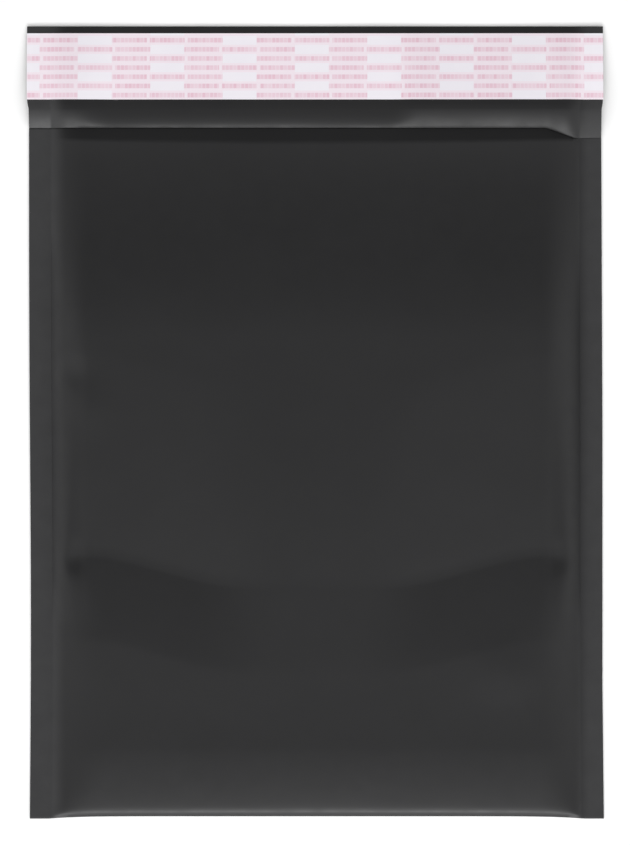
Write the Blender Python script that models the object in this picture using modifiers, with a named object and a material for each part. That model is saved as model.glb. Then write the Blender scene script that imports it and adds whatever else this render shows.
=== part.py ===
"""A self-seal padded envelope, lying on its back with its flap open.

Four pieces: one folded film shell with welded sides, a folded pad of bubble film
inside it, a strip of glue on the flap and the release liner that covers the glue.

X runs across the envelope, Y along it towards the flap, and Z up. The origin is in
the middle of the area it lies on. Films are 0.2 to 0.3 mm thick here, and pieces
that touch on the real thing keep a gap of 0.3 mm or a little more.
"""

import math

import bpy
from mathutils import Vector

MM = 0.001

# Driving sizes
WIDTH = 240 * MM
BODY_LENGTH = 300 * MM  # from the bottom fold to the flap's fold line
FLAP_LENGTH = 31 * MM
MOUTH_SETBACK = 11 * MM  # from the flap's fold line back to the front panel's edge
SEAM_WIDTH = 9.2 * MM  # each welded side
FILM = 0.3 * MM
GAP = 0.3 * MM
SLACK = 0.5 * MM  # between the front film and the lining that it is draped over
LINING = 2.4 * MM  # one layer of bubble film
POCKET_DEPTH = 5.0 * MM  # the free space between the two layers of lining
DOME = 1.0 * MM  # how much the front panel swells in the middle
SHOULDER = 18 * MM  # how far the front panel takes to rise beside a seam
LINING_CLEAR = 9 * MM  # from the lining's edges to the welds, where the pocket gets thin
LIP_LENGTH = 6.4 * MM  # bare film at the mouth, past the lining
LIP_DROP = 2.6 * MM
GLUE_WIDTH = 24 * MM
GLUE = 0.2 * MM
LINER_WIDTH = 27.8 * MM
LINER_INSET = 2.9 * MM  # bare film between the liner and the flap's end
LINER = 0.2 * MM

# Sizes that follow from them
END_Y = (BODY_LENGTH + FLAP_LENGTH) / 2
BOTTOM_Y = -END_Y
MOUTH_Y = BOTTOM_Y + BODY_LENGTH - MOUTH_SETBACK
PAD_END_Y = MOUTH_Y - LIP_LENGTH
POCKET_HALF = WIDTH / 2 - SEAM_WIDTH
FOLD_Y = BOTTOM_Y + 2 * FILM  # where the film starts to turn at the bottom
BACK_Z = FILM / 2  # middle of the back film
SEAM_Z = BACK_Z + 2 * FILM  # middle of the front film where it is welded
LINING_BACK_Z = FILM + GAP + LINING / 2
FRONT_Z = FILM + GAP + 2 * LINING + POCKET_DEPTH + SLACK + FILM / 2
LINING_HALF = POCKET_HALF - LINING_CLEAR
LINING_BOTTOM_Y = FOLD_Y + LINING_CLEAR + LINING / 2

SHOULDER_STEPS = 6
FOLD_STEPS = 6
FLAT_STEPS = 4
LENGTH_STEPS = 8


def rise(distance):
    """0 at a seam, 1 past the shoulder, steep first like a cushion's side."""
    share = min(max(distance / SHOULDER, 0.0), 1.0)
    return math.sin(share * math.pi / 2) ** 0.7


def front_height(x, y):
    """The middle of the front film above the surface the envelope lies on."""
    along = min(y, PAD_END_Y)
    side = rise(POCKET_HALF - abs(x))
    end = rise(along - FOLD_Y)
    swell = DOME * math.cos(math.pi * x / WIDTH) * math.cos(math.pi * along / (2 * END_Y))
    z = SEAM_Z + (FRONT_Z - SEAM_Z + swell) * min(side, end)
    lip = max(y - PAD_END_Y, 0.0) / LIP_LENGTH
    return z - LIP_DROP * lip * side


def under_front(x, y, depth):
    """The point at a depth under the front film, measured square to the film."""
    step = 0.1 * MM
    slope_x = (front_height(x + step, y) - front_height(x - step, y)) / (2 * step)
    slope_y = (front_height(x, y + step) - front_height(x, y - step)) / (2 * step)
    normal = Vector((-slope_x, -slope_y, 1.0)).normalized()
    return Vector((x, y, front_height(x, y))) - normal * depth


def spaced(start, end, steps):
    return [start + (end - start) * i / steps for i in range(steps + 1)]


def mirrored(half):
    """Columns from -X to +X, from those of one half that runs from the middle out."""
    return [-x for x in reversed(half[1:])] + half


def new_material(name, colour, roughness):
    material = bpy.data.materials.new(name)
    material.use_nodes = True
    shader = material.node_tree.nodes["Principled BSDF"]
    shader.inputs["Base Color"].default_value = (*colour, 1)
    shader.inputs["Roughness"].default_value = roughness
    shader.inputs["Metallic"].default_value = 0
    return material


def new_collection(name):
    collection = bpy.data.collections.new(name)
    bpy.context.scene.collection.children.link(collection)
    return collection


def place_in(collection, piece):
    for old in list(piece.users_collection):
        old.objects.unlink(piece)
    collection.objects.link(piece)


def folded_sheet(name, columns, rows, point, thickness):
    """A grid whose rows are laid along a folded path, with Solidify for its wall."""
    across, along = len(columns) - 1, len(rows) - 1
    bpy.ops.mesh.primitive_grid_add(x_subdivisions=across, y_subdivisions=along, size=1)
    sheet = bpy.context.object
    sheet.name = sheet.data.name = name
    for vertex in sheet.data.vertices:
        column = round((vertex.co.x + 0.5) * across)
        row = round((vertex.co.y + 0.5) * along)
        vertex.co = point(columns[column], rows[row])
    wall = sheet.modifiers.new("wall", "SOLIDIFY")
    wall.thickness = thickness
    wall.offset = 0
    wall.use_even_offset = True
    return sheet


def box(name, low, high):
    bpy.ops.mesh.primitive_cube_add(size=1)
    block = bpy.context.object
    block.name = block.data.name = name
    for vertex in block.data.vertices:
        vertex.co = [low[i] + (vertex.co[i] + 0.5) * (high[i] - low[i]) for i in range(3)]
    return block


def shell_point(x, row):
    """A point of the folded film. A row is its side and how far along it is."""
    side, where = row
    if side == "back":
        return Vector((x, where, BACK_Z))
    if side == "front":
        return Vector((x, where, front_height(x, where)))
    turn = where * math.pi
    top = front_height(x, FOLD_Y)
    middle, radius = (BACK_Z + top) / 2, (top - BACK_Z) / 2
    reach = FOLD_Y - BOTTOM_Y - FILM / 2
    return Vector((x, FOLD_Y - reach * math.sin(turn), middle - radius * math.cos(turn)))


def lining_point(x, row):
    """A point of the folded pad, the middle of its layer of bubble film."""
    side, where = row
    depth = FILM / 2 + SLACK + LINING / 2
    if side == "back":
        return Vector((x, where, LINING_BACK_Z))
    if side == "front":
        return under_front(x, where, depth)
    turn = where * math.pi
    top = under_front(x, LINING_BOTTOM_Y, depth)
    middle, radius = (LINING_BACK_Z + top.z) / 2, (top.z - LINING_BACK_Z) / 2
    shift = (top.x - x) * where
    along = LINING_BOTTOM_Y + (top.y - LINING_BOTTOM_Y) * where
    return Vector((x + shift, along - radius * 0.8 * math.sin(turn), middle - radius * math.cos(turn)))


def fold_rows():
    return [("fold", i / FOLD_STEPS) for i in range(1, FOLD_STEPS)]


def make_shell(parts, cutters):
    shoulder = [POCKET_HALF - SHOULDER * i / SHOULDER_STEPS for i in range(SHOULDER_STEPS, -1, -1)]
    half = spaced(0, shoulder[0], FLAT_STEPS)[:-1] + shoulder + [WIDTH / 2]
    end_rise = [FOLD_Y + SHOULDER * i / SHOULDER_STEPS for i in range(SHOULDER_STEPS + 1)]
    front = end_rise[:-1] + spaced(end_rise[-1], PAD_END_Y, LENGTH_STEPS) + [MOUTH_Y]
    back = [END_Y, MOUTH_Y] + spaced(PAD_END_Y, FOLD_Y, LENGTH_STEPS)
    rows = [("back", y) for y in back] + fold_rows() + [("front", y) for y in front]
    shell = folded_sheet("outer_shell", mirrored(half), rows, shell_point, FILM)
    shell.data.materials.append(new_material("black_film", (0.03, 0.03, 0.031), 0.45))
    inset = FILM / 3
    for side in (-1, 1):
        edges = sorted((side * POCKET_HALF, side * (WIDTH / 2 - inset)))
        low = (edges[0], FOLD_Y, BACK_Z - inset / 2)
        high = (edges[1], MOUTH_Y - inset, SEAM_Z + inset / 2)
        weld = box("weld_left" if side < 0 else "weld_right", low, high)
        weld.display_type = "WIRE"
        weld.hide_render = True
        place_in(cutters, weld)
        join = shell.modifiers.new(weld.name, "BOOLEAN")
        join.operation = "UNION"
        join.object = weld
    place_in(parts, shell)


def make_lining(parts):
    half = spaced(0, POCKET_HALF - SHOULDER, FLAT_STEPS)
    half += spaced(POCKET_HALF - SHOULDER, LINING_HALF, 4)[1:]
    end_rise = spaced(LINING_BOTTOM_Y, FOLD_Y + SHOULDER, 3)
    pad_end = PAD_END_Y - GAP
    front = end_rise[:-1] + spaced(end_rise[-1], pad_end, LENGTH_STEPS)
    back = spaced(pad_end, LINING_BOTTOM_Y, LENGTH_STEPS)
    rows = [("back", y) for y in back] + fold_rows() + [("front", y) for y in front]
    lining = folded_sheet("bubble_lining", mirrored(half), rows, lining_point, LINING)
    lining.data.materials.append(new_material("bubble_film", (0.62, 0.63, 0.65), 0.3))
    place_in(parts, lining)


def make_flap_strips(parts):
    liner_end = END_Y - LINER_INSET
    liner_start = liner_end - LINER_WIDTH
    margin = (LINER_WIDTH - GLUE_WIDTH) / 2
    glue_z = FILM + GAP
    liner_z = glue_z + GLUE + GAP
    glue = box(
        "adhesive_strip",
        (-WIDTH / 2 + margin, liner_start + margin, glue_z),
        (WIDTH / 2 - margin, liner_end - margin, glue_z + GLUE),
    )
    glue.data.materials.append(new_material("glue", (0.75, 0.68, 0.5), 0.2))
    liner = box(
        "release_liner",
        (-WIDTH / 2, liner_start, liner_z),
        (WIDTH / 2, liner_end, liner_z + LINER),
    )
    liner.data.materials.append(new_material("liner_paper", (0.88, 0.82, 0.86), 0.4))
    place_in(parts, glue)
    place_in(parts, liner)


def main():
    for old in list(bpy.data.objects):
        bpy.data.objects.remove(old)
    parts = new_collection("padded_envelope")
    cutters = new_collection("cutters")
    make_shell(parts, cutters)
    make_lining(parts)
    make_flap_strips(parts)
    bpy.context.view_layer.update()


main()
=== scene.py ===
# %% [markdown]
# # A padded envelope, flap open
# A padded envelope is one long piece of plastic film, folded up on itself and welded
# down both sides. A second, folded piece of bubble film lines the pocket. The film
# that is left over at the top is the flap: it carries a strip of glue under a printed
# release liner. This notebook takes the plain solids of the CAD model as its frame
# and makes the soft, finely shaped surfaces that stand for them.

# %% Load the frame
import math

import bpy
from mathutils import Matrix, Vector, noise


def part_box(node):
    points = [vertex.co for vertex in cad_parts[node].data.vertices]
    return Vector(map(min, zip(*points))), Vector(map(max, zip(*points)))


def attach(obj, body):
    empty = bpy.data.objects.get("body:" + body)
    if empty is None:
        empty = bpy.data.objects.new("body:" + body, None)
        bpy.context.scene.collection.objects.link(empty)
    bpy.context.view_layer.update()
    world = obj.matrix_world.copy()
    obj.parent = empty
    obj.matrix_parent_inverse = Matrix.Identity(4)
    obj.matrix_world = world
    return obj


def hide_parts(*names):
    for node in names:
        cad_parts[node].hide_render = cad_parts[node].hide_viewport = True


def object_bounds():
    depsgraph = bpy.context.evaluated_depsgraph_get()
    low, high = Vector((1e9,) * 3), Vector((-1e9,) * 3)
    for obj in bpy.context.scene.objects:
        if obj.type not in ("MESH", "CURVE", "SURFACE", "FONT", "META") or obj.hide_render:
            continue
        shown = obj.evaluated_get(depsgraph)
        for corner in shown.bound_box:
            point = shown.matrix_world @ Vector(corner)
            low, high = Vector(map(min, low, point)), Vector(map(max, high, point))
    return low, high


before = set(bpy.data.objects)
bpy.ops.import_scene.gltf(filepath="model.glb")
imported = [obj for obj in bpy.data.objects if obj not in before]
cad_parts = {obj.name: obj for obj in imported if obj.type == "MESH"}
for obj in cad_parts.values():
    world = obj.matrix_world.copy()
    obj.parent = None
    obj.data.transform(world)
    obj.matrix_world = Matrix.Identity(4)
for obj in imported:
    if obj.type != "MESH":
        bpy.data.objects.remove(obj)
cad_low, cad_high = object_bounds()
shell_low, shell_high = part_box("outer_shell")
lining_low, lining_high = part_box("bubble_lining")
glue_low, glue_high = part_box("adhesive_strip")
liner_low, liner_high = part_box("release_liner")
print("nodes:", sorted(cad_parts))
print("box in mm:", [round(1000 * v, 1) for v in (*cad_low, *cad_high)])

# %% [markdown]
# ## Driving sizes
# All lengths are in metres. The outline comes from the frame's boxes. What the boxes
# don't give, such as the width of a weld or the length of the bare lip at the mouth,
# is named here once, so that the same number shapes the film, the lining and the welds.

# %% Driving sizes
MM = 0.001
HALF_WIDTH = shell_high.x
END_Y = shell_high.y
BOTTOM_Y = shell_low.y
TOP_Z = shell_high.z
SEAM = 9.2 * MM  # width of each side weld
POCKET_HALF = HALF_WIDTH - SEAM
FILM = 0.12 * MM
BACK_Z = FILM / 2
WELD_Z = 0.55 * MM  # middle of the front film where it is welded to the back
SHOULDER = 17 * MM  # how far the front takes to rise beside a weld
FOOT_SHOULDER = 28.5 * MM  # and beside the bottom fold
FOOT_WALL = 0.22  # the share of the rise that is right at the bottom fold
FOOT_WALL_REACH = 1.0 * MM
BULGE = 8 * MM  # how much farther the shoulders reach in below the fold mark
SWELL = 0.7 * MM  # how much higher the front is in the middle than at its sides
MOUTH_SAG = 6.4 * MM  # how much thinner the envelope gets towards its mouth
FOOT_SAG = 4.8 * MM  # and towards its bottom fold
MOUTH_Y = BOTTOM_Y + 288.1 * MM  # the front film's free edge
PAD_Y = BOTTOM_Y + 282.8 * MM  # where the lining ends and the bare lip starts
CREASE_Y = BOTTOM_Y + 110.6 * MM  # a fold mark across the lower half
CREASE_SAG = 13 * MM  # how much nearer the bottom it is in the middle
CREASE_DEPTH = 4.0 * MM
CREASE_ABOVE = 84 * MM  # how far its soft slope runs up the panel
CREASE_BELOW = 36 * MM  # and down it
FOLD_R = 0.35 * MM  # how far the film takes to turn at the bottom fold
CREST_Y = MOUTH_Y + 8.3 * MM  # the flap's fold line, a low ridge past the mouth
LIP_DROP = 2.3 * MM  # from the pad's edge down to the free edge
LIFT = 16 * MM  # how far before the mouth the back film leaves the table
FILM_GAP = 0.55 * MM  # from the lip's edge down to the back film
print("pocket is", round(2 * POCKET_HALF / MM, 1), "mm wide inside the welds")

# %% Small curves that the shapes share
def ramp(value, start, end):
    """0 before start, 1 after end, straight between."""
    return min(max((value - start) / (end - start), 0.0), 1.0)


def smooth(value, start, end):
    """The same with soft ends."""
    share = ramp(value, start, end)
    return share * share * (3 - 2 * share)


def hump(value, centre, width):
    """A bell of height 1."""
    return math.exp(-(((value - centre) / width) ** 2))


def both(a, b):
    """The smaller of two shares, rounded off where they are alike."""
    if min(a, b) <= 0:
        return 0.0
    return (a**-2 + b**-2 - 1) ** -0.5


def wave(x, y, size, seed):
    """Smooth noise from about -1 to 1 whose features are about size across."""
    return noise.noise(Vector((x / size, y / size, seed)))


# %% [markdown]
# ## The shape of the film
# Nobody stuffs this envelope: the bubble lining alone fills it. So the front is nearly
# flat in the middle, drops in a soft shoulder to the welds, and gets thinner towards the
# open mouth. It shows the marks of a stack and a carton: a fold mark across the lower
# half that starts at both sides, a dent in the left shoulder, slow unevenness
# everywhere. The shape is written down as a height over the table.

# %% The outline seen from above
LEFT_HALF = 119.5 * MM
RIGHT_HALF = 119.6 * MM
FLAP_EXTRA = 0.3 * MM  # how much wider than the frame each half of the flap is


def bottom_edge(x):
    """The padding draws the bottom fold in a little between the two corners."""
    return BOTTOM_Y + 1.0 * MM * (1 - min(abs(x) / (112 * MM), 1.0) ** 10)


def pad_edge(x):
    """The line where the lining ends, bowed a little."""
    return PAD_Y + 1.3 * MM * (x / POCKET_HALF) ** 2


def mouth_edge(x):
    """The front film's free edge. Its right end is pulled down into the weld."""
    return MOUTH_Y - 4.6 * MM * ramp(x, 97 * MM, 110 * MM)


def across(x, y):
    """Where a point of the flat pattern ends up across the envelope. The left side draws
    in a little along its lower half, and the right side gets wider towards the bottom."""
    if x < 0:
        half = LEFT_HALF - 0.8 * MM * hump(y, -84 * MM, 90 * MM)
    else:
        half = RIGHT_HALF + 0.5 * MM * ramp(-y, -120 * MM, 0)
        half += 0.6 * MM * ramp(-y, 110 * MM, 165 * MM)
    flap = smooth(y, CREST_Y - 0.5 * MM, liner_low.y + 0.5 * MM)
    half += (HALF_WIDTH + FLAP_EXTRA - half) * flap
    return x * half / HALF_WIDTH


# %% The height of the front film
WELD_BEAD = 0.35 * MM  # how much thicker a weld is along its middle
WELD_UNEVEN = 0.22 * MM


def weld_height(x, y):
    """The welded margin: thin, a little wavy, with a groove along its inner side."""
    middle = hump(abs(x), HALF_WIDTH - SEAM * 0.45, SEAM * 0.35)
    uneven = WELD_UNEVEN * wave(x, y, 34 * MM, 7.3)
    return WELD_Z + (WELD_BEAD + uneven) * middle


def crease_line(x):
    """The fold mark starts at both sides and sags towards the middle, where it fades."""
    return CREASE_Y - CREASE_SAG * smooth(-abs(x), -98 * MM, -30 * MM)


def fold_mark(x, y):
    """Depth of the mark across the lower half: sharp at the fold, long and soft off it."""
    crease = crease_line(x)
    reach = 0.25 + 0.75 * smooth(abs(x), 16 * MM, 54 * MM)
    reach *= 1 - smooth(abs(x), 98 * MM, 107 * MM)
    above = (1 - ramp(y, crease, crease + CREASE_ABOVE)) ** 1.25
    below = (1 - ramp(crease - y, 0, CREASE_BELOW)) ** 1.2
    return CREASE_DEPTH * reach * (above if y > crease else below)


def marks(x, y):
    """Dents and swellings that are left in the front film."""
    nick_left = 1.3 * MM * hump(x, -102 * MM, 4 * MM) * hump(y, CREASE_Y - 2 * MM, 5 * MM)
    nick_right = 1.1 * MM * hump(x, 102.5 * MM, 4 * MM) * hump(y, CREASE_Y - 2 * MM, 5 * MM)
    dent = 0.9 * MM * hump(x, -101 * MM, 5 * MM) * hump(y, 21 * MM, 6 * MM)
    swelling = 0.4 * MM * hump(x, -93 * MM, 7 * MM) * hump(y, 6 * MM, 10 * MM)
    low_right = 1.0 * MM * hump(x, 80 * MM, 16 * MM) * hump(y, -104 * MM, 12 * MM)
    slow = 0.34 * MM * wave(x, y, 62 * MM, 1.7) + 0.12 * MM * wave(x, y, 23 * MM, 4.1)
    return swelling + low_right + slow - nick_left - nick_right - dent


def front_height(x, y):
    """The middle of the front film over the table, from the bottom fold to the pad's edge."""
    side = POCKET_HALF - abs(x)
    if side <= 0:
        return weld_height(x, y)
    end = max(y - bottom_edge(x) - FOLD_R, 0.0)
    reach = SHOULDER * (1 + 0.12 * wave(0, y, 45 * MM, 3.3 if x < 0 else 8.8))
    reach += BULGE * smooth(CREASE_Y - y, 6 * MM, 34 * MM) * (1.0 if x < 0 else 0.4)
    from_side = 1 - (1 - ramp(side, 0, reach)) ** 2.0
    from_end = 1 - (1 - ramp(end, 0, FOOT_SHOULDER)) ** 1.7
    from_end += FOOT_WALL * (1 - math.exp(-end / FOOT_WALL_REACH) - from_end)
    rise = both(from_side, from_end)
    level = TOP_Z - FILM - SWELL + SWELL * math.cos(math.pi * x / (2 * HALF_WIDTH))
    level -= MOUTH_SAG * smooth(y, 36 * MM, 114 * MM) + FOOT_SAG * smooth(-y, 20 * MM, 150 * MM)
    level += marks(x, y) - fold_mark(x, y)
    foot = weld_height(x, y)
    return foot + (level - foot) * rise


def lip_edge(x):
    """The height of the front film's free edge."""
    side = POCKET_HALF - abs(x)
    pad_top = front_height(x, pad_edge(x))
    if side <= 0:
        return pad_top
    return pad_top - (LIP_DROP + 0.3 * MM * wave(x, 0, 40 * MM, 9.2)) * smooth(side, 0, 15 * MM)


def lip_height(x, y):
    """The bare lip slopes down from the pad's edge to the free edge."""
    start, end = pad_edge(x), mouth_edge(x)
    share = ramp(y, start, end) if end > start else 1.0
    top = front_height(x, min(y, start))
    return top + (lip_edge(x) - top) * share


# %% The height of the back film and the flap
def flap_height(x, y):
    """Flat on the table under the pocket, then up to meet the lip, over the fold line's
    low ridge, and down to the table again at the flap's end. The ridge stands higher
    and rounder on the right, and at the left corner."""
    start = mouth_edge(x)
    at_lip = max(lip_edge(x) - FILM_GAP, BACK_Z)
    if y < start:
        return BACK_Z + (at_lip - BACK_Z) * smooth(y, start - LIFT, start + 1 * MM)
    longer = max(smooth(x, 31 * MM, 43 * MM), 1 - smooth(x, -104 * MM, -84 * MM))
    climb_by = (1.8 + 1.9 * longer + 0.45 * wave(x, 0, 24 * MM, 2.2)) * MM
    climb_by *= 1 + 0.4 * hump(x, 105.5 * MM, 6 * MM)
    power = 3.4 - 1.9 * longer
    crest = at_lip + climb_by
    if y < CREST_Y:
        first = BACK_Z + (at_lip - BACK_Z) * smooth(start, start - LIFT, start + 1 * MM)
        return first + (crest - first) * (1 - (1 - ramp(y, start, CREST_Y)) ** power)
    down = ramp(y, CREST_Y, END_Y)
    slow = 0.22 * MM * wave(x, y, 50 * MM, 5.5) * smooth(y, CREST_Y, CREST_Y + 14 * MM)
    return crest + (0.5 * MM - crest) * down ** 1.1 + slow


print("front height mid-panel:", round(front_height(0, 0) / MM, 2), "mm")
print("lip edge height:", round(lip_height(0, mouth_edge(0)) / MM, 2), "mm")
print("fold line's height:", round(flap_height(0, CREST_Y) / MM, 2), "mm")

# %% [markdown]
# ## Finishes
# Black mailer film is soft polythene: almost black, with a satin face that turns light
# where it slopes towards a lamp. The release liner is coated white paper with a faint
# violet cast and staggered rows of dusty-pink dashes. Every finish is made of nodes
# that read Object coordinates, so the pattern stays in place on the finished mesh.

# %% Node helpers
def new_finish(name):
    material = bpy.data.materials.new(name)
    material.use_nodes = True
    return material, material.node_tree, material.node_tree.nodes["Principled BSDF"]


def node(tree, kind, **settings):
    made = tree.nodes.new(kind)
    for key, value in settings.items():
        setattr(made, key, value)
    return made


def feed(tree, socket, value):
    """Links an output socket, or sets a plain value."""
    if isinstance(value, bpy.types.NodeSocket):
        tree.links.new(value, socket)
    else:
        socket.default_value = value


def maths(tree, operation, first, second=0.0):
    made = node(tree, "ShaderNodeMath", operation=operation)
    feed(tree, made.inputs[0], first)
    feed(tree, made.inputs[1], second)
    return made.outputs[0]


def place(tree):
    return node(tree, "ShaderNodeTexCoord").outputs["Object"]


def grain(tree, size, detail=2.0, stretch=(1, 1, 1)):
    """Noise whose features are about size across, in metres."""
    mapping = node(tree, "ShaderNodeMapping")
    mapping.inputs["Scale"].default_value = stretch
    feed(tree, mapping.inputs["Vector"], place(tree))
    texture = node(tree, "ShaderNodeTexNoise")
    texture.inputs["Scale"].default_value = 1 / size
    texture.inputs["Detail"].default_value = detail
    feed(tree, texture.inputs["Vector"], mapping.outputs[0])
    return texture.outputs["Fac"]


def between(tree, value, low, high):
    made = node(tree, "ShaderNodeMapRange")
    made.inputs["From Min"].default_value = 0.3
    made.inputs["From Max"].default_value = 0.7
    made.inputs["To Min"].default_value = low
    made.inputs["To Max"].default_value = high
    feed(tree, made.inputs["Value"], value)
    return made.outputs[0]


def blend_colours(tree, share, first, second):
    made = node(tree, "ShaderNodeMix", data_type="RGBA")
    feed(tree, made.inputs[0], share)
    feed(tree, made.inputs[6], first)
    feed(tree, made.inputs[7], second)
    return made.outputs[2]


def bump(tree, shader, height, strength, distance):
    made = node(tree, "ShaderNodeBump")
    made.inputs["Strength"].default_value = strength
    made.inputs["Distance"].default_value = distance
    feed(tree, made.inputs["Height"], height)
    feed(tree, shader.inputs["Normal"], made.outputs[0])


def tint(red, green, blue):
    """An everyday 0 to 255 colour as the linear light that a shader wants."""
    return (*[((value / 255 + 0.055) / 1.055) ** 2.4 for value in (red, green, blue)], 1)


# %% Black film
# Painted light: moving the pale band this far to the right makes it reach further in over the left
# shoulder's foot.
PAINTED_LIGHT_SHIFT = 2.2 * MM  # the pale margin is this much wider on the left


def film_finish():
    """Near black, and paler along the welds, where the film is crushed. The pale tone also reaches
    in over the groove and the foot of each shoulder, about 3 mm on the right and 7 mm on the left.
    That part is painted light that lightens the shade there.
    """
    material, tree, shader = new_finish("black_film")
    plain = blend_colours(tree, grain(tree, 26 * MM, 3), tint(28, 28, 29), tint(31, 31, 32))
    axes = node(tree, "ShaderNodeSeparateXYZ")
    feed(tree, axes.inputs[0], place(tree))
    # Painted light: this share starts inside each weld's inner edge, over the groove and the
    # shoulder's foot, so those slopes read lighter than their shade.
    weld_and_painted_light = node(tree, "ShaderNodeMapRange", interpolation_type="SMOOTHSTEP")
    aside = maths(tree, "ABSOLUTE", maths(tree, "SUBTRACT", axes.outputs[0], PAINTED_LIGHT_SHIFT))
    feed(tree, weld_and_painted_light.inputs["Value"], aside)
    weld_and_painted_light.inputs["From Min"].default_value = POCKET_HALF - 5 * MM
    weld_and_painted_light.inputs["From Max"].default_value = POCKET_HALF + 2 * MM
    # The welds' pale tone, laid also as painted light on the groove and slopes beside the welds.
    weld_tone_and_painted_light = blend_colours(tree, grain(tree, 7 * MM, 3), tint(44, 44, 45), tint(53, 53, 54))
    feed(tree, shader.inputs["Base Color"], blend_colours(tree, weld_and_painted_light.outputs[0], plain, weld_tone_and_painted_light))
    feed(tree, shader.inputs["Roughness"], between(tree, grain(tree, 6 * MM, 3), 0.40, 0.48))
    shader.inputs["Specular IOR Level"].default_value = 0.27
    fine, broad = grain(tree, 0.7 * MM, 2), grain(tree, 9 * MM, 2)
    pebbled = maths(tree, "ADD", fine, maths(tree, "MULTIPLY", broad, 2.0))
    bump(tree, shader, pebbled, 0.25, 0.06 * MM)
    return material


black_film = film_finish()

# %% Bubble film
def bubble_finish():
    material, tree, shader = new_finish("bubble_film")
    milky = blend_colours(tree, grain(tree, 14 * MM, 2), tint(196, 199, 203), tint(212, 214, 217))
    feed(tree, shader.inputs["Base Color"], milky)
    feed(tree, shader.inputs["Roughness"], between(tree, grain(tree, 4 * MM, 2), 0.18, 0.3))
    shader.inputs["Subsurface Weight"].default_value = 0.2
    shader.inputs["Subsurface Scale"].default_value = 2 * MM
    bump(tree, shader, grain(tree, 1.2 * MM, 2), 0.2, 0.05 * MM)
    return material


bubble_film = bubble_finish()

# %% Glue
def glue_finish():
    material, tree, shader = new_finish("hot_melt_glue")
    cloudy = blend_colours(tree, grain(tree, 8 * MM, 3), tint(196, 182, 142), tint(214, 204, 170))
    feed(tree, shader.inputs["Base Color"], cloudy)
    feed(tree, shader.inputs["Roughness"], between(tree, grain(tree, 3 * MM, 2), 0.12, 0.25))
    bump(tree, shader, grain(tree, 2 * MM, 3), 0.3, 0.05 * MM)
    return material


glue = glue_finish()

# %% [markdown]
# The liner's print is a plain filler pattern: rows of short pink marks set in blocks,
# and each row shifted by half a block against the next. Arithmetic on the place of a
# point gives the row, the block, the dash within the block and the mark within the
# dash. Nothing in it is a letter.

# %% Printed release liner
ROW_PITCH = 3.85 * MM
BLOCK_PITCH = 60.4 * MM
FIRST_ROW_Y = liner_high.y - 2.9 * MM
BLOCK_START_X = -84.8 * MM
DASHES = 3
DASH_SHARE = 0.262  # of a block's pitch, with its gap
DASH_FILL = 0.92  # of a dash, without its gap
HALF_ROW = 0.25  # half a mark's height, as a share of the row pitch
MARK_PITCH = 1.62 * MM
MARK_FILL = 0.74
FAINT = 0.55  # the ink between two marks of a dash, as a share of a mark's
PALEST = 0.5  # the ink of the faintest mark
INK = 0.45  # how much of the print's full colour the paper takes
BLOCK_TONE = 0.6  # how far the paper under a block turns pink


def liner_finish():
    material, tree, shader = new_finish("release_liner_print")
    axes = node(tree, "ShaderNodeSeparateXYZ")
    feed(tree, axes.inputs[0], place(tree))
    x, y = axes.outputs[0], axes.outputs[1]
    down = maths(tree, "DIVIDE", maths(tree, "SUBTRACT", FIRST_ROW_Y + ROW_PITCH / 2, y), ROW_PITCH)
    row = maths(tree, "FLOOR", down)
    off_row = maths(tree, "ABSOLUTE", maths(tree, "SUBTRACT", maths(tree, "FRACT", down), 0.5))
    shift = maths(tree, "MULTIPLY", maths(tree, "FLOORED_MODULO", row, 2.0), 0.5)
    along = maths(tree, "DIVIDE", maths(tree, "SUBTRACT", x, BLOCK_START_X), BLOCK_PITCH)
    block = maths(tree, "FRACT", maths(tree, "ADD", maths(tree, "ADD", along, shift), 8.0))
    in_block = maths(tree, "LESS_THAN", block, DASHES * DASH_SHARE - 0.02)
    dash = maths(tree, "FRACT", maths(tree, "DIVIDE", block, DASH_SHARE))
    in_dash = maths(tree, "LESS_THAN", dash, DASH_FILL)
    in_row = maths(tree, "LESS_THAN", off_row, HALF_ROW)
    marks_along = maths(tree, "DIVIDE", x, MARK_PITCH)
    mark = maths(tree, "FRACT", maths(tree, "ADD", marks_along, 200.0))  # never below 0
    in_mark = maths(tree, "LESS_THAN", mark, MARK_FILL)
    which = node(tree, "ShaderNodeCombineXYZ")
    feed(tree, which.inputs[0], maths(tree, "FLOOR", marks_along))
    feed(tree, which.inputs[1], row)
    uneven = node(tree, "ShaderNodeTexWhiteNoise")
    feed(tree, uneven.inputs["Vector"], which.outputs[0])
    inked = maths(tree, "MULTIPLY", maths(tree, "MULTIPLY", in_block, in_dash), in_row)
    inked = maths(tree, "MULTIPLY", inked, INK)
    solid = maths(tree, "ADD", maths(tree, "MULTIPLY", in_mark, 1 - FAINT), FAINT)
    inked = maths(tree, "MULTIPLY", inked, solid)
    dark = maths(tree, "ADD", maths(tree, "MULTIPLY", uneven.outputs[0], 1 - PALEST), PALEST)
    inked = maths(tree, "MULTIPLY", inked, dark)
    paper = blend_colours(tree, grain(tree, 12 * MM, 2), tint(238, 234, 242), tint(243, 239, 245))
    pink_share = maths(tree, "MULTIPLY", in_block, BLOCK_TONE)
    toned = blend_colours(tree, pink_share, paper, tint(242, 224, 233))
    feed(tree, shader.inputs["Base Color"], blend_colours(tree, inked, toned, tint(214, 132, 162)))
    feed(tree, shader.inputs["Roughness"], between(tree, grain(tree, 5 * MM, 2), 0.38, 0.5))
    bump(tree, shader, grain(tree, 0.8 * MM, 2), 0.15, 0.03 * MM)
    return material


printed_liner = liner_finish()
print("finishes:", [m.name for m in (black_film, bubble_film, glue, printed_liner)])

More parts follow.
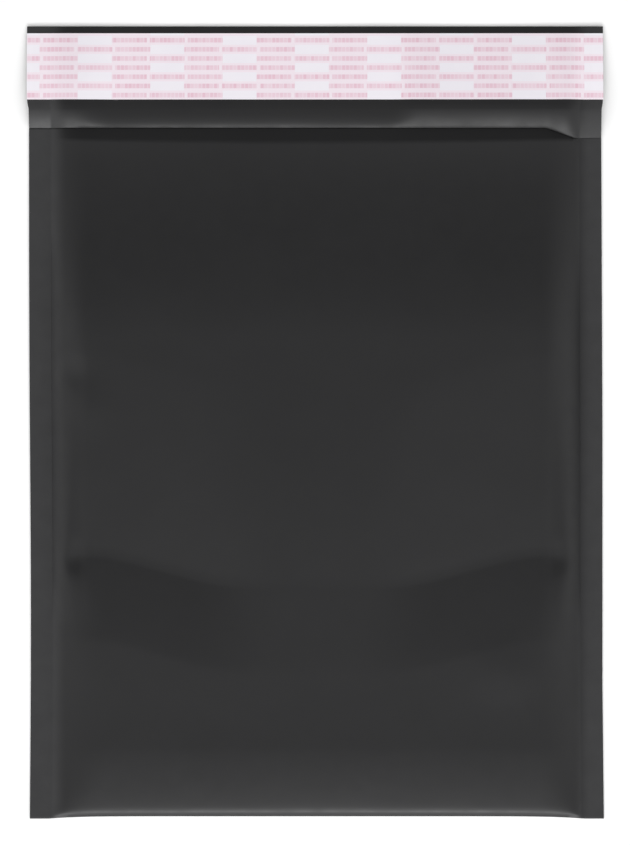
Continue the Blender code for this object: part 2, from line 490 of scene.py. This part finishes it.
# %% [markdown]
# ## From a grid to a folded film
# Each film starts as a grid primitive. Its columns stay columns; its rows are laid
# along a path that may turn back on itself. A Solidify modifier then gives the film
# its wall, and is applied, so the finished piece is a plain closed mesh.

# %% Laying a grid along a path
def deselect():
    bpy.ops.object.select_all(action="DESELECT")


def spaced(start, end, steps, lean=1.0):
    """Steps from start to end. A lean over 1 packs them towards the start, under 1 the end."""
    return [start + (end - start) * (i / steps) ** lean for i in range(steps + 1)]


def lay_sheet(name, columns, rows, point, thickness, finish):
    """A closed film: a grid whose every point is placed by its column and its row."""
    deselect()
    wide, long = len(columns) - 1, len(rows) - 1
    bpy.ops.mesh.primitive_grid_add(x_subdivisions=wide, y_subdivisions=long, size=1)
    sheet = bpy.context.object
    sheet.name = sheet.data.name = name
    for vertex in sheet.data.vertices:
        column = columns[round((vertex.co.x + 0.5) * wide)]
        vertex.co = point(column, rows[round((vertex.co.y + 0.5) * long)])
    wall = sheet.modifiers.new("wall", "SOLIDIFY")
    wall.thickness = thickness
    wall.offset = 0
    bpy.ops.object.modifier_apply(modifier=wall.name)
    bpy.ops.object.shade_smooth_by_angle(angle=math.radians(40))
    sheet.data.materials.append(finish)
    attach(sheet, "root")
    print(name, "has", len(sheet.data.polygons), "faces")
    return sheet


def mirrored(half):
    """Columns from -X to +X, from those of one half that runs from the middle out."""
    return [-x for x in reversed(half[1:])] + half


# %% Outer shell
FOLD_STEPS = 6


def shell_point(x, row):
    """A point of the folded film. A row is its stretch and how far along it is."""
    side, share = row
    if side == "back":
        y = share
        return Vector((across(x, y), y, flap_height(x, y)))
    start = bottom_edge(x) + FOLD_R
    if side == "fold":
        turn = share * math.pi
        foot = front_height(x, start)
        middle, radius = (BACK_Z + foot) / 2, (foot - BACK_Z) / 2
        y = start - FOLD_R * math.sin(turn)
        return Vector((across(x, start), y, middle - radius * math.cos(turn)))
    if side == "lower":
        y = start + (crease_line(x) - start) * share
    elif side == "upper":
        y = crease_line(x) + (pad_edge(x) - crease_line(x)) * share
    else:
        y = pad_edge(x) + (mouth_edge(x) - pad_edge(x)) * share
        return Vector((across(x, y), y, lip_height(x, y)))
    return Vector((across(x, y), y, front_height(x, y)))


inner = spaced(0, POCKET_HALF - SHOULDER, 40)
shoulder = spaced(POCKET_HALF, POCKET_HALF - SHOULDER, 16, 1.25)[::-1]
margin = [POCKET_HALF + d * MM for d in (0.5, 1.1, 1.8, 2.6, 3.6, 4.8, 6.2, 7.6)] + [HALF_WIDTH]
shell_columns = mirrored(inner[:-1] + shoulder + margin)
back_rows = spaced(END_Y, CREST_Y, 14)[:-1] + spaced(CREST_Y, MOUTH_Y - 8 * MM, 28)
back_rows += spaced(MOUTH_Y - 8 * MM, BOTTOM_Y + 1.4 * MM, 26)[1:]
shell_rows = [("back", y) for y in back_rows]
shell_rows += [("fold", i / FOLD_STEPS) for i in range(1, FOLD_STEPS)]
shell_rows += [("lower", share) for share in spaced(0, 1, 66, 1.2)[:-1]]
shell_rows += [("upper", 1 - share) for share in spaced(1, 0, 104, 0.8)[:-1]]
shell_rows += [("lip", share) for share in spaced(0, 1, 10)]
outer_shell = lay_sheet(
    "envelope_shell", shell_columns, shell_rows, shell_point, FILM, black_film
)
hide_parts("outer_shell")

# %% [markdown]
# ## Side welds
# Heat and pressure melt the two films and the crushed edge of the bubble film into one
# flat margin. The shell above only brings the two films close, so each weld gets its
# own thin strip between them, which closes the envelope's sides.

# %% Side welds
def weld_point(side):
    def point(x, y):
        top = weld_height(x, y)
        return Vector((across(side * x, y), y, (top + BACK_Z) / 2))

    return point


weld_columns = spaced(POCKET_HALF + 0.4 * MM, HALF_WIDTH - 0.15 * MM, 6)
weld_rows = spaced(BOTTOM_Y + 1.6 * MM, PAD_Y, 90)
for side, name in ((-1, "left_weld"), (1, "right_weld")):
    columns = weld_columns if side > 0 else weld_columns[::-1]
    lay_sheet(name, columns, weld_rows, weld_point(side), WELD_Z - BACK_Z, black_film)

# %% [markdown]
# ## Bubble lining
# Bubble film is a flat sheet with a second one blown into a close-packed field of
# domes. The sheet is laid like the shell, a little inside it. One dome is modelled
# from a low sphere, repeated by two Array modifiers, and then every point is carried
# from the flat field to its place on the sheet, so that the bubbles follow the pocket.

# %% Lining sheet
LINING_HALF = lining_high.x - 1.5 * MM
LINING_START = lining_low.y + 4 * MM
LINING_END = PAD_Y - 0.8 * MM
LINING_SHEET = 0.25 * MM
UNDER_FILM = 0.6 * MM
NEAR = 2 * MM  # the lining passes under the lowest film this close by


def lining_height(x, y, side):
    """The lining's flat sheet: close under the front film, or close over the back film."""
    if side == "back":
        return flap_height(x, y) + UNDER_FILM
    along = min(y, pad_edge(x) - 0.5 * MM)
    spots = [(x, along), (x - NEAR, along), (x + NEAR, along), (x, along - NEAR)]
    return min(front_height(*spot) for spot in spots) - UNDER_FILM


def lining_point(x, row):
    """A point of the folded lining. Its fold is flatter than half a circle."""
    side, share = row
    if side == "fold":
        turn = share * math.pi
        low, high = lining_height(x, LINING_START, "back"), lining_height(x, LINING_START, "front")
        middle, radius = (low + high) / 2, (high - low) / 2
        y = LINING_START - 0.5 * radius * math.sin(turn)
        return Vector((across(x, y), y, middle - radius * math.cos(turn)))
    return Vector((across(x, share), share, lining_height(x, share, side)))


lining_columns = mirrored(spaced(0, LINING_HALF, 60))
lining_rows = [("back", y) for y in spaced(LINING_END, LINING_START, 50)]
lining_rows += [("fold", i / FOLD_STEPS) for i in range(1, FOLD_STEPS)]
lining_rows += [("front", y) for y in spaced(LINING_START, LINING_END, 60)]
lining = lay_sheet(
    "lining_sheet",
    lining_columns,
    lining_rows,
    lining_point,
    LINING_SHEET,
    bubble_film,
)
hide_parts("bubble_lining")

# %% Bubbles
BUBBLE = 9.2 * MM
BUBBLE_PITCH = 10.4 * MM
BUBBLE_HEIGHT = 2.1 * MM
BUBBLE_CLEAR = 0.15 * MM  # from the tip of a bubble to the middle of the pocket
LEAST_HEIGHT = 0.1 * MM  # of a bubble where the pocket is thin
DOME_BACK = 0.02  # what is left of the height of a sphere's lower half
COLUMN_COUNT = 19
ROW_COUNT = 15


def bubble_field(name):
    """A close-packed field of domes, flat on the z plane and centred on the origin."""
    row_pitch = BUBBLE_PITCH * math.sqrt(3)
    halves = []
    for half in (0, 1):
        deselect()
        bpy.ops.mesh.primitive_uv_sphere_add(segments=10, ring_count=6, radius=BUBBLE / 2)
        dome = bpy.context.object
        for vertex in dome.data.vertices:
            vertex.co.z *= BUBBLE_HEIGHT / (BUBBLE / 2) if vertex.co.z > 0 else DOME_BACK
            vertex.co.x += (half - 0.5) * BUBBLE_PITCH / 2 - (COLUMN_COUNT - 1) * BUBBLE_PITCH / 2
            vertex.co.y += (half - 0.5) * row_pitch / 2 - (ROW_COUNT - 1) * row_pitch / 2
        for count, step in ((COLUMN_COUNT, (BUBBLE_PITCH, 0, 0)), (ROW_COUNT, (0, row_pitch, 0))):
            repeat = dome.modifiers.new("repeat", "ARRAY")
            repeat.count = count
            repeat.use_relative_offset = False
            repeat.use_constant_offset = True
            repeat.constant_offset_displace = step
            bpy.ops.object.modifier_apply(modifier=repeat.name)
        halves.append(dome)
    deselect()
    for dome in halves:
        dome.select_set(True)
    bpy.context.view_layer.objects.active = halves[0]
    bpy.ops.object.join()
    halves[0].name = halves[0].data.name = name
    return halves[0]


for side, name in (("back", "back_bubbles"), ("front", "front_bubbles")):
    field = bubble_field(name)
    middle_y = (LINING_START + LINING_END) / 2
    facing = 1 if side == "back" else -1
    for vertex in field.data.vertices:
        x, y, height = vertex.co.x, vertex.co.y + middle_y, vertex.co.z
        low, high = lining_height(x, y, "back"), lining_height(x, y, "front")
        room = high - low - LINING_SHEET
        flat = min(max(room / 2 - BUBBLE_CLEAR, LEAST_HEIGHT) / BUBBLE_HEIGHT, 1.0)
        level = (low if side == "back" else high) + facing * LINING_SHEET / 2
        vertex.co = (across(x, y), y, level + facing * height * flat)
    if side == "front":
        bpy.ops.object.mode_set(mode="EDIT")
        bpy.ops.mesh.select_all(action="SELECT")
        bpy.ops.mesh.flip_normals()
        bpy.ops.object.mode_set(mode="OBJECT")
    bpy.ops.object.shade_smooth()
    field.data.materials.append(bubble_film)
    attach(field, "root")
    print(name, "has", len(field.data.polygons), "faces")

# %% [markdown]
# ## Glue strip and release liner
# Both lie on the flap and follow its slow waves. The glue stops short of the liner's
# edges, so that a finger can lift the liner.

# %% Glue strip and release liner
GLUE = 0.12 * MM
LINER = 0.1 * MM
GLUE_CLEAR = 0.02 * MM
LINER_CLEAR = 0.05 * MM
STRAIGHT_Y = liner_low.y + 2 * MM  # from here on the flap has its full width


def on_flap(lift):
    """Points that lie over the flap, with ends cut straight across the flap's width."""

    def point(x, y):
        return Vector((across(x, max(y, STRAIGHT_Y)), y, flap_height(x, y) + lift))

    return point


def columns_between(low, high):
    """The shell's own columns, so that a strip bends where the flap bends."""
    return [low] + [x for x in shell_columns if low + 0.1 * MM < x < high - 0.1 * MM] + [high]


glue_columns = columns_between(glue_low.x, glue_high.x)
glue_rows = spaced(glue_low.y, glue_high.y, 12)
glue_lift = (FILM + GLUE) / 2 + GLUE_CLEAR
glue_strip = lay_sheet(
    "glue_strip", glue_columns, glue_rows, on_flap(glue_lift), GLUE, glue
)
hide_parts("adhesive_strip")
liner_columns = columns_between(liner_low.x, liner_high.x)
liner_rows = spaced(liner_low.y, liner_high.y, 24)
liner_lift = FILM / 2 + GLUE + LINER / 2 + LINER_CLEAR
liner = lay_sheet(
    "printed_release_liner",
    liner_columns,
    liner_rows,
    on_flap(liner_lift),
    LINER,
    printed_liner,
)
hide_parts("release_liner")

# %% [markdown]
# ## Table, light and camera
# A white table inside a light tent. One broad lamp stands low on the near side; the
# tent is pale all round, dimmer right overhead and dimmest beyond the flap. So the
# flat black film stays dark, and the slopes that face the near side catch the light.
# The camera looks straight down through a long lens, with the flap at the top of the
# picture.

# %% Table
deselect()
bpy.ops.mesh.primitive_plane_add(size=6, location=(0, 0, 0))
table = bpy.context.object
table.name = "table"
table.location.z = -0.05 * MM
bpy.ops.object.transform_apply(location=True)
table_finish, table_tree, table_shader = new_finish("white_table")
feed(
    table_tree,
    table_shader.inputs["Base Color"],
    blend_colours(table_tree, grain(table_tree, 0.4), (0.95, 0.95, 0.95, 1), (0.97, 0.97, 0.97, 1)),
)
table_shader.inputs["Roughness"].default_value = 0.6
table.data.materials.append(table_finish)

# %% Light
def lamp(name, place_at, width, height, power):
    """A flat lamp that points at the middle of the envelope."""
    deselect()
    bpy.ops.object.light_add(type="AREA", location=place_at)
    made = bpy.context.object
    made.name = name
    made.data.shape = "RECTANGLE"
    made.data.size, made.data.size_y = width, height
    made.data.energy = power
    made.rotation_euler = (-Vector(place_at)).to_track_quat("-Z", "Y").to_euler()


lamp("near_lamp", (0, -2.1, 0.98), 1.6, 0.6, 36)


def tent(strength_over, strength_round, far_share):
    """Pale walls all round, dimmer right overhead and dimmest beyond the flap."""
    world = bpy.data.worlds.new("light_tent")
    bpy.context.scene.world = world
    world.use_nodes = True
    tree = world.node_tree
    axes = node(tree, "ShaderNodeSeparateXYZ")
    feed(tree, axes.inputs[0], node(tree, "ShaderNodeTexCoord").outputs["Generated"])
    ranges = []
    for value, start, end, low, high in (
        (axes.outputs[2], 0.95, 0.5, strength_over, strength_round),
        (axes.outputs[1], -0.1, 0.38, 1.0, far_share),
    ):
        made = node(tree, "ShaderNodeMapRange", interpolation_type="SMOOTHSTEP")
        feed(tree, made.inputs["Value"], value)
        settings = {"From Min": start, "From Max": end, "To Min": low, "To Max": high}
        for socket, number in settings.items():
            made.inputs[socket].default_value = number
        ranges.append(made.outputs[0])
    feed(tree, tree.nodes["Background"].inputs["Strength"], maths(tree, "MULTIPLY", *ranges))
    feed(tree, tree.nodes["Background"].inputs["Color"], (1, 1, 1, 1))


tent(strength_over=0.92, strength_round=1.54, far_share=0.3)
bpy.context.scene.view_settings.view_transform = "Standard"

# %% Camera
CAMERA_HEIGHT = 2.4
VIEW_LENGTH = 1.067 * (cad_high.y - cad_low.y)  # what the picture's long side takes in
deselect()
bpy.ops.object.camera_add(location=(0, 0, CAMERA_HEIGHT), rotation=(0, 0, 0))
camera = bpy.context.object
camera.data.lens = camera.data.sensor_width * CAMERA_HEIGHT / VIEW_LENGTH
bpy.context.scene.camera = camera
print("lens:", round(camera.data.lens), "mm")
